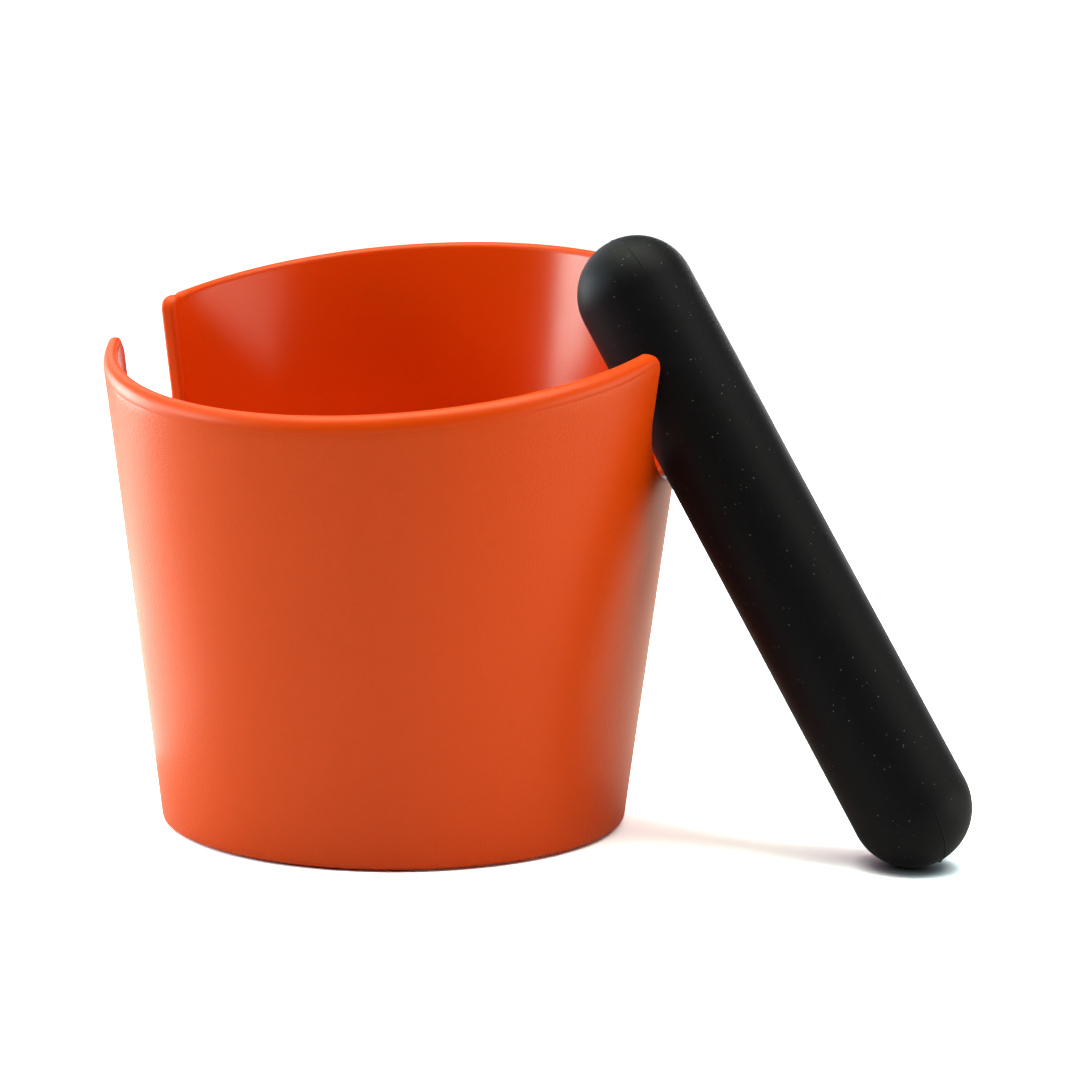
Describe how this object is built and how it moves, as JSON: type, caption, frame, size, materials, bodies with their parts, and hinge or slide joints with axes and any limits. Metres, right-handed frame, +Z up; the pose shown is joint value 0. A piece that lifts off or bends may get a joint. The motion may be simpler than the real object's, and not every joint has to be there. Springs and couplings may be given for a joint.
{
  "type": "espresso knock box",
  "caption": "Conical tub with a sloping rim and side slots, and a loose round-ended knock bar that leans in a slot with its foot on the table.",
  "frame": {"origin": "centre of the tub's base, on the surface that the object stands on", "axes": "+X along the line of the two slots, to the side where the bar leans; +Y to the high back of the rim; +Z up"},
  "size_m": [0.2433, 0.1644, 0.1636],
  "materials": {
    "tub_plastic": "satin moulded ABS, finely grained outside and smoother inside",
    "pad_rubber": "matt soft rubber",
    "bar_silicone": "matt silicone with a faint mould parting line",
    "core_steel": "drawn tube",
    "plug_plastic": "plain moulded"
  },
  "bodies": {
    "tub_body": {"tub": "tub_plastic", "base_pad": "pad_rubber"},
    "bar": {"bar_sleeve": "bar_silicone", "bar_core_tube": "core_steel", "bar_plug_top": "plug_plastic", "bar_plug_foot": "plug_plastic"}
  },
  "joints": [
    {"name": "bar_tip", "type": "hinge", "parent": "tub_body", "child": "bar", "pos_m": [0.14661, -0.009, 0.016], "axis": [0.1288, 0.9917, 0], "range_deg": [0, 121.3]}
  ]
}
